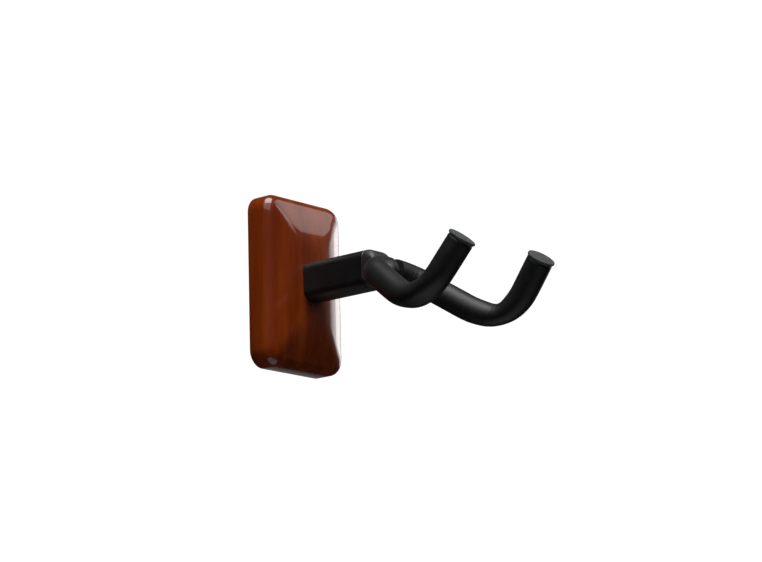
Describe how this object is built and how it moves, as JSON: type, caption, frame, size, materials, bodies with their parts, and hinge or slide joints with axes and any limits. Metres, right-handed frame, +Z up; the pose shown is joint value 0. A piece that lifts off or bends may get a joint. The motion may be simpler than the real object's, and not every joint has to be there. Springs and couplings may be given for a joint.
{
  "type": "wall guitar hanger",
  "caption": "Wall guitar hanger: lacquered wood plate with keyhole hangers, short neck, and a swivelling foam covered U yoke that cradles a guitar's neck.",
  "frame": {"origin": "middle of the wood plate's back face, on the wall, halfway between the two keyhole entry holes", "axes": "+Z up; the wall is the plane Y = 0 and the hanger stands out from it towards -Y; +X to the right as seen from the room"},
  "size_m": [0.114, 0.2131, 0.129],
  "materials": {
    "lacquered_wood": "reddish brown hardwood under clear gloss lacquer",
    "black_moulding": "satin black glass-filled nylon",
    "head_moulding": "satin dark grey nylon",
    "black_foam": "matt black closed-cell rubber foam",
    "cap_rubber": "matt dark grey rubber",
    "black_steel": "black powder coat on steel",
    "bright_steel": "turned steel",
    "spring_steel": "dark spring steel",
    "zinc_plate": "bright zinc plated steel",
    "screw_steel": "yellow passivated zinc plated steel",
    "nylon": "natural nylon",
    "nut_nylon": "blue nylon locking ring"
  },
  "bodies": {
    "wall_mount": {"wood_plate": "lacquered_wood", "upper_keyhole_plate": "zinc_plate", "lower_keyhole_plate": "zinc_plate", "keyhole_plate_screws": "screw_steel", "anchor_flange": "black_steel", "anchor_screws": "screw_steel", "neck_tube": "black_steel", "neck_shell": "black_moulding", "front_bushing": "nylon", "rear_bushing": "nylon", "thrust_washer": "nylon"},
    "yoke": {"swivel_stud": "bright_steel", "stop_pin": "bright_steel", "swivel_head": "head_moulding", "disc_spring": "spring_steel", "flat_washer": "zinc_plate", "lock_nut": "zinc_plate", "lock_nut_ring": "nut_nylon", "yoke_rod": "black_steel", "left_foam_sleeve": "black_foam", "right_foam_sleeve": "black_foam", "left_end_cap": "cap_rubber", "right_end_cap": "cap_rubber"}
  },
  "joints": [
    {"name": "yoke_swivel", "type": "hinge", "parent": "wall_mount", "child": "yoke", "pos_m": [0, -0.085, 0], "axis": [0, -1, 0], "range_deg": [-30, 30]}
  ]
}
